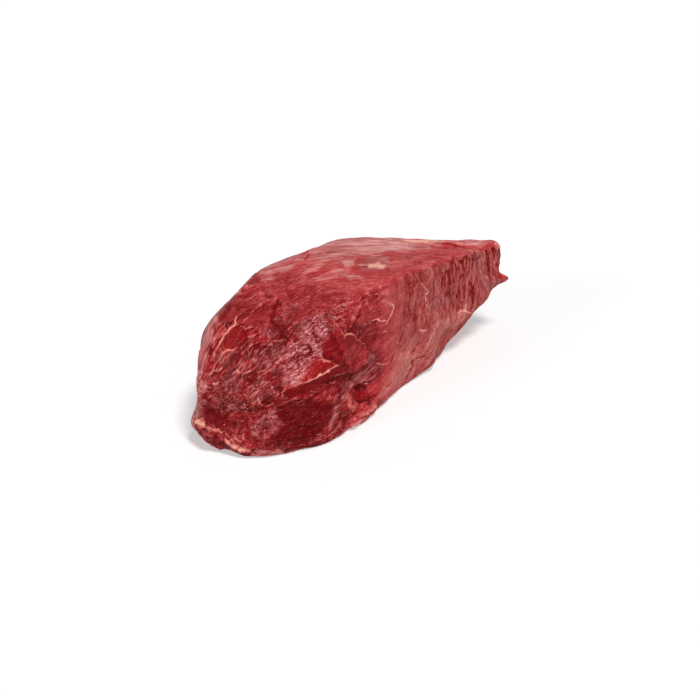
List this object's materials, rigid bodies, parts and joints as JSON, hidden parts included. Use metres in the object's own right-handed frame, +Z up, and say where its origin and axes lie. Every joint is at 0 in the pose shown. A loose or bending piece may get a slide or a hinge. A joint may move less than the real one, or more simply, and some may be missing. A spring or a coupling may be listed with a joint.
{
  "type": "beef round",
  "caption": "Trimmed raw beef round roast: a boneless muscle with a domed nose, a flat side cut showing its grain, and a tapering far end, lying on a flat seat.",
  "frame": {"origin": "on the resting surface, under the middle of the roast's box", "axes": "+X along the grain from the domed nose to the far end, -Y out of the flat side cut, +Z up"},
  "size_m": [0.3766, 0.1562, 0.1323],
  "materials": {
    "beef": "raw beef: moist deep red lean on the nose, duller pinkish red on the side cut, pale fat seams and thin lilac membrane"
  },
  "bodies": {
    "root": {"beef_round": "beef"}
  },
  "joints": []
}
